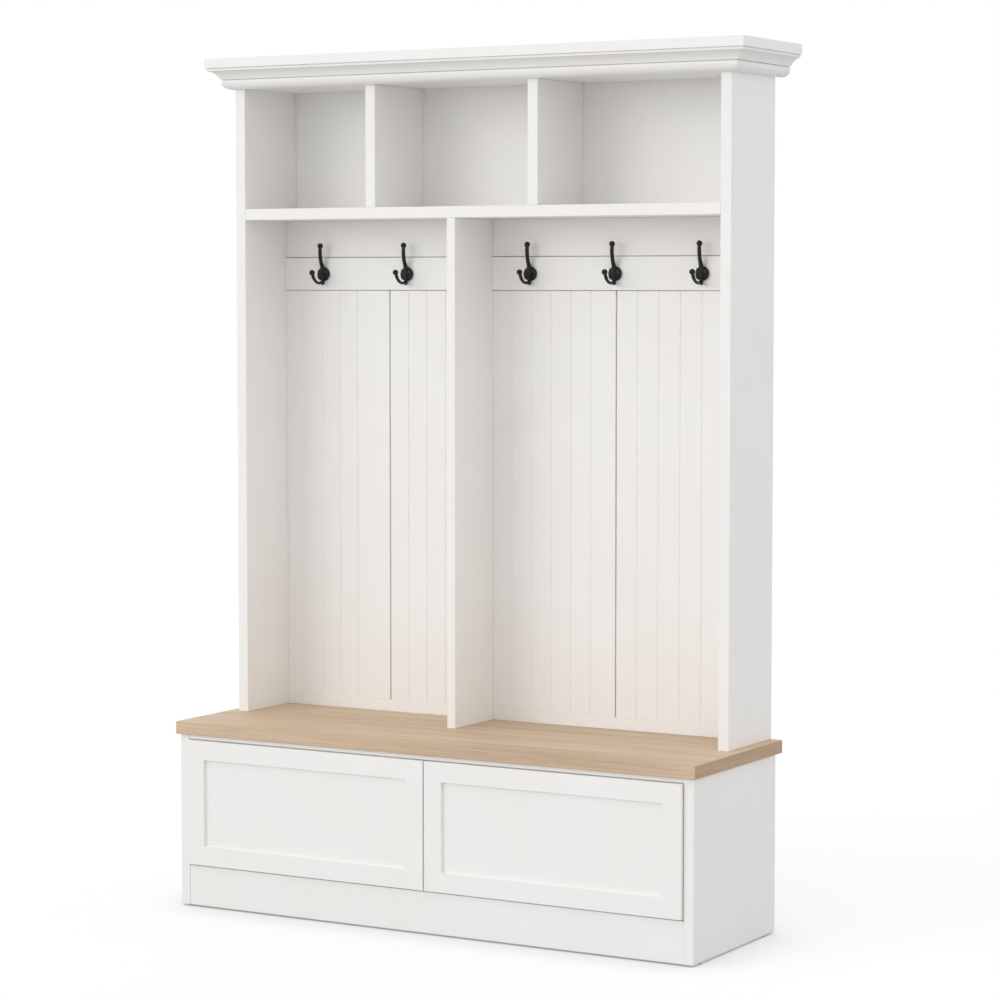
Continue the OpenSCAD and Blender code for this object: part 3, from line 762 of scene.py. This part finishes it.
def fittings():
    """Cams with a driver slot, cam bolts, and the flat-headed screws of the seat and cap."""
    bm, cutter = bmesh.new(), bmesh.new()
    for low, high in solids("knock_down_fittings"):
        size = high - low
        middle = (low + high) / 2
        if abs(size.x - size.y) > 5 * MM:  # a cam bolt, along X
            r = size.z / 2 - 0.02 * MM
            start = Vector((low.x, middle.y, middle.z))
            ring = [(0.0, 0.0), (r - 1 * MM, 0.0), (r - 0.4 * MM, 0.6 * MM), (r - 0.4 * MM, 3 * MM)]
            ring += [(r - 1.6 * MM, 3.4 * MM), (r - 1.6 * MM, 6 * MM), (r, 6.5 * MM)]
            ring += [(r, size.x - 0.6 * MM), (r - 0.6 * MM, size.x), (0.0, size.x)]
            lathe(bm, start, (1, 0, 0), ring, steps=20)
        elif size.z < 20 * MM:  # a cam; its slot is on the side that can be reached
            r = size.x / 2 - 0.05 * MM
            upward = middle.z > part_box("seat_top")[1].z
            face = Vector((middle.x, middle.y, high.z if upward else low.z))
            axis = (0, 0, 1 if upward else -1)
            ring = [(0.0, -size.z), (r - 0.5 * MM, -size.z), (r, -size.z + 0.5 * MM)]
            ring += [(r, -1.2 * MM), (r - 0.4 * MM, -0.6 * MM), (0.0, -0.6 * MM)]
            lathe(bm, face, axis, ring, steps=32)
            cross_cutter(cutter, face - Vector(axis) * 0.6 * MM, axis, r * 0.6, 2.5 * MM)
        else:  # a screw up into the hutch, or down through the cap
            upward = middle.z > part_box("shelf")[1].z
            axis = Vector((0, 0, 1 if upward else -1))
            end = high.z if upward else low.z
            head = Vector((middle.x, middle.y, end)) - axis * 3 * MM
            screw(bm, cutter, head, axis, size.x / 2, 2.9 * MM, 2.5 * MM, size.z - 3 * MM)
    return drilled(finish_piece(bm, "fittings_set", "knock_down_fittings"), cutter)


def glides():
    """Nail-on glides: a domed pad and its stem."""
    bm = bmesh.new()
    pad_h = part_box("base_side_left")[0].z - 0.1 * MM
    for low, high in solids("floor_glides"):
        middle = (low + high) / 2
        r = (high.x - low.x) / 2
        ring = [(0.0, 0.0), (r - 1.2 * MM, 0.0), (r - 0.4 * MM, 0.35 * MM), (r, 1.0 * MM), (r, pad_h)]
        ring += [(3 * MM, pad_h), (3 * MM, high.z - low.z - 2 * MM), (0.0, high.z - low.z)]
        lathe(bm, (middle.x, middle.y, low.z), (0, 0, 1), ring, steps=32)
    return finish_piece(bm, "glide_set", "floor_glides")


def wall_angles():
    """Small steel angles with a rounded bend and two holes each."""
    bm, cutter = bmesh.new(), bmesh.new()
    sheet, hole_r, hole_up = 2 * MM, 2.25 * MM, 11 * MM
    for low, high in solids("wall_brackets"):
        leg = high.z - low.z
        bend = 3 * MM
        outer = [(0.0, 0.0), *arc((leg - bend, bend), bend, -90, 0, 6), (leg, leg)]
        inner = [(leg - sheet, leg), *arc((leg - bend, bend), bend - sheet, 0, -90, 6), (0.0, sheet)]
        section = outer + inner
        loft(bm, [[(x, low.y + u, low.z + v) for u, v in section] for x in (low.x, high.x)])
        middle = (low.x + high.x) / 2
        hole = [(hole_r, 0), (hole_r, 4 * sheet)]
        lathe(cutter, (middle, high.y - 2 * sheet, low.z + hole_up), (0, 1, 0), hole)
        lathe(cutter, (middle, high.y - hole_up, low.z - sheet), (0, 0, 1), hole)
    return drilled(finish_piece(bm, "wall_angle_set", "wall_brackets"), cutter)


hook_screws()
for side in ("left", "right"):
    front_screws(side)
fittings()
glides()
wall_angles()


# ---------------------------------------------------------------- coat hooks


def swept(bm, path, steps=28):
    """An oval bar in the plane x = 0; each station is (y, z, half width, half thickness)."""
    rings = []
    for i, (y, z, wide, thick) in enumerate(path):
        before, after = path[max(i - 1, 0)], path[min(i + 1, len(path) - 1)]
        run = Vector((0, after[0] - before[0], after[1] - before[1])).normalized()
        across = Vector((1, 0, 0))
        out = run.cross(across)
        rings.append(
            [
                Vector((0, y, z)) + across * wide * math.cos(t) + out * thick * math.sin(t)
                for t in (2 * math.pi * k / steps for k in range(steps))
            ]
        )
    loft(bm, rings)


def spline(stations, per_span=6):
    """A smooth run of stations through the given ones (Catmull-Rom)."""
    rows = np.array([stations[0], *stations, stations[-1]], float)
    made = []
    for i in range(1, len(rows) - 2):
        a, b, c, d = rows[i - 1 : i + 3]
        for k in range(per_span):
            t = k / per_span
            square, cube = 2 * a - 5 * b + 4 * c - d, 3 * b - a - 3 * c + d
            made.append(0.5 * (2 * b + (c - a) * t + square * t**2 + cube * t**3))
    made.append(rows[-2])
    return [tuple(float(v) for v in row) for row in made]


def blob(bm, place, radii, turns=20, steps=32):
    """A round lump with its own radius along X, Y and Z."""
    rings = []
    for i in range(turns + 1):
        rise = math.pi * i / turns
        around = max(math.sin(rise), 1e-3)
        rings.append(
            [
                Vector(place)
                + Vector(
                    (
                        radii[0] * around * math.cos(t),
                        radii[1] * around * math.sin(t),
                        -radii[2] * math.cos(rise),
                    )
                )
                for t in (2 * math.pi * k / steps for k in range(steps))
            ]
        )
    loft(bm, rings)


def hook_mesh(name):
    """One cast hook about the middle of its plate, on the hook rail's face: y is negative outwards."""
    bm = bmesh.new()
    plate = [(0.0, 0.0), (14.6, 0.0), (15.2, 0.7), (15.2, 2.6), (14.7, 3.6), (13.5, 4.2)]
    plate += [(9.4, 4.6), (0.0, 4.6)]
    lathe(bm, (0, 0, 0), (0, -1, 0), [(r * MM, h * MM) for r, h in plate], steps=72)
    spine = [  # from the foot up to the tall arm's ball: y, z, half width, half thickness, in mm
        (-6.2, -20.5, 3.8, 3.6),
        (-5.6, -14.0, 3.6, 3.9),
        (-5.4, -4.0, 3.2, 4.3),
        (-5.4, 5.0, 3.9, 4.3),
        (-5.9, 11.0, 5.6, 4.0),
        (-8.1, 17.0, 5.0, 3.9),
        (-11.4, 23.5, 4.3, 3.9),
        (-14.2, 31.0, 4.1, 3.9),
        (-15.7, 38.5, 4.1, 3.9),
        (-16.4, 46.0, 4.2, 4.0),
        (-16.3, 53.0, 4.1, 3.9),
        (-15.9, 59.0, 3.6, 3.5),
    ]
    swept(bm, [tuple(v * MM for v in s) for s in spline(spine)])
    arm = []  # the lower arm: an arc out and up to its ball, a little thinner half way
    for i, (y, z) in enumerate(arc((-20.0, 8.0), 27.5, 296, 190, 18)):
        waist = math.sin(math.pi * min(i / 14, 1.0))
        arm.append((y, z, 3.7 - 0.5 * waist, 3.5 - 0.4 * waist))
    swept(bm, [tuple(v * MM for v in s) for s in arm])
    lumps = [  # middle and radii of the two balls, the foot's knob and the plate's two lobes, in mm
        ((0, -15.7, 61.0), (6.2, 6.1, 6.2)),
        ((0, -48.3, 3.2), (6.2, 6.1, 6.1)),
        ((0, -6.6, -20.0), (4.2, 4.0, 3.9)),
        ((-8.2, -4.0, -0.5), (6.7, 3.7, 12.0)),
        ((8.2, -4.0, -0.5), (6.7, 3.7, 12.0)),
    ]
    for place, radii in lumps:
        blob(bm, [v * MM for v in place], [r * MM for r in radii])
    bmesh.ops.recalc_face_normals(bm, faces=bm.faces)
    rough = bpy.data.meshes.new(name)
    bm.to_mesh(rough)
    bm.free()
    holder = bpy.data.objects.new(name, rough)
    bpy.context.scene.collection.objects.link(holder)
    weld = holder.modifiers.new("weld", "REMESH")
    weld.mode = "VOXEL"
    weld.voxel_size = 0.45 * MM
    weld.use_smooth_shade = True
    soften = holder.modifiers.new("soften", "SMOOTH")
    soften.factor = 0.5
    soften.iterations = 5
    bpy.context.view_layer.update()
    graph = bpy.context.evaluated_depsgraph_get()
    holder.data = bpy.data.meshes.new_from_object(holder.evaluated_get(graph))
    holder.modifiers.clear()
    bpy.data.meshes.remove(rough)
    sinks = bmesh.new()
    for x in (-9.5 * MM, 9.5 * MM):  # seats for the two screw heads
        lathe(sinks, (x, 0, 0), (0, -1, 0), [(3.5 * MM, 4.6 * MM), (3.8 * MM, 12 * MM)])
    cast = drilled(holder, sinks).data
    bpy.data.objects.remove(holder)
    cast.name = name
    cast.materials.clear()
    cast.materials.append(MATERIALS["black_iron"])
    return cast


def hooks():
    """Five castings of one hook mesh, each at its own plate."""
    cast = hook_mesh("coat_hook_casting")
    screws = solids("hook_screws")
    height = sum((low.z + high.z) / 2 for low, high in screws) / len(screws)
    for number in (1, 2, 3, 4, 5):
        node = f"hook_{number}"
        low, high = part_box(node)
        piece = bpy.data.objects.new(f"coat_hook_{number}", cast)
        bpy.context.scene.collection.objects.link(piece)
        piece.location = ((low.x + high.x) / 2, high.y, height)
        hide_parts(node)
        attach(piece, "cabinet")


hooks()


# ---------------------------------------------------------------- stage, light and camera

FLOOR_TONE = 0.60  # how much light the floor gives back
FLOOR_GLOW = 0.43  # what it shows on top of that
GLOW_IN_PAINTED_SHADE = 0.45  # the share of that glow left where the piece stands on it: a painted shade, from ambient occlusion
ROOM_LIGHT = 0.90  # the surround's strength on the piece; the camera sees it as full white


def stage_floor():
    """A wide, plain, pale floor. It shows a little brighter than the light it gives back, and that glow
    fades near the piece as a painted shade.
    """
    bm = bmesh.new()
    reach = 60.0
    corners = ((-reach, -reach), (reach, -reach), (reach, reach), (-reach, reach))
    bm.faces.new([bm.verts.new((x, y, cad_low.z)) for x, y in corners])
    mesh = bpy.data.meshes.new("studio_floor")
    bm.to_mesh(mesh)
    bm.free()
    s = Shading("studio_floor")
    colour = s.ramp(s.noise(1.5), (0.3, (FLOOR_TONE - 0.005,) * 3), (0.7, (FLOOR_TONE + 0.005,) * 3))
    seen = s.add("ShaderNodeLightPath").outputs["Is Camera Ray"]
    # painted shade: the glow the camera sees is dimmed by ambient occlusion where the piece stands on
    # the floor
    painted_shade_ao = s.add("ShaderNodeAmbientOcclusion", Distance=0.12).outputs["AO"]
    glow = s.math("MULTIPLY", seen, s.remap(painted_shade_ao, GLOW_IN_PAINTED_SHADE * FLOOR_GLOW, FLOOR_GLOW))
    s.set(s.shader, Base_Color=colour, Roughness=1.0, Specular_IOR_Level=0.0)
    s.set(s.shader, Emission_Color=(1.0, 1.0, 1.0, 1.0), Emission_Strength=glow)
    mesh.materials.append(s.material)
    floor = bpy.data.objects.new("studio_floor", mesh)
    bpy.context.scene.collection.objects.link(floor)


def sun_lamp(name, azimuth, elevation, spread, strength):
    """A very soft distant light. Azimuth 0 shines from the front and 90 from the right, in degrees."""
    data = bpy.data.lights.new(name, "SUN")
    data.angle = math.radians(spread)
    data.energy = strength
    turn, rise = math.radians(azimuth), math.radians(elevation)
    toward = Vector((math.sin(turn) * math.cos(rise), -math.cos(turn) * math.cos(rise), math.sin(rise)))
    light = bpy.data.objects.new(name, data)
    light.rotation_euler = toward.to_track_quat("Z", "Y").to_euler()
    bpy.context.scene.collection.objects.link(light)


def studio_light():
    """An even pale surround, a low broad key from the left, a weak fill and a light overhead."""
    world = bpy.data.worlds.new("studio")
    world.use_nodes = True
    tree = world.node_tree
    lit = tree.nodes["Background"]
    lit.inputs["Color"].default_value = (1.0, 1.0, 1.0, 1.0)
    lit.inputs["Strength"].default_value = ROOM_LIGHT
    shown = tree.nodes.new("ShaderNodeBackground")
    shown.inputs["Color"].default_value = (1.0, 1.0, 1.0, 1.0)
    mix = tree.nodes.new("ShaderNodeMixShader")
    ray = tree.nodes.new("ShaderNodeLightPath")
    tree.links.new(ray.outputs["Is Camera Ray"], mix.inputs["Fac"])
    tree.links.new(lit.outputs["Background"], mix.inputs[1])
    tree.links.new(shown.outputs["Background"], mix.inputs[2])
    tree.links.new(mix.outputs["Shader"], tree.nodes["World Output"].inputs["Surface"])
    bpy.context.scene.world = world
    sun_lamp("left_key", -37.0, 5.0, 45.0, 1.00)
    sun_lamp("right_fill", 80.0, 12.0, 40.0, 0.12)
    sun_lamp("overhead", 0.0, 88.0, 50.0, 0.10)
    bpy.context.scene.view_settings.view_transform = "Standard"


def studio_camera():
    """A long lens well to the right of the front, above the middle and looking slightly down."""
    data = bpy.data.cameras.new("studio_camera")
    data.sensor_width = 36.0
    data.lens = 110.9
    data.clip_end = 200.0
    camera = bpy.data.objects.new("studio_camera", data)
    camera.location = (3.239, -5.5085, 1.326)
    yaw, pitch = 30.0, -4.01  # degrees
    camera.rotation_euler = (math.radians(90 + pitch), 0.0, math.radians(yaw))
    bpy.context.scene.collection.objects.link(camera)
    bpy.context.scene.camera = camera


stage_floor()
studio_light()
studio_camera()
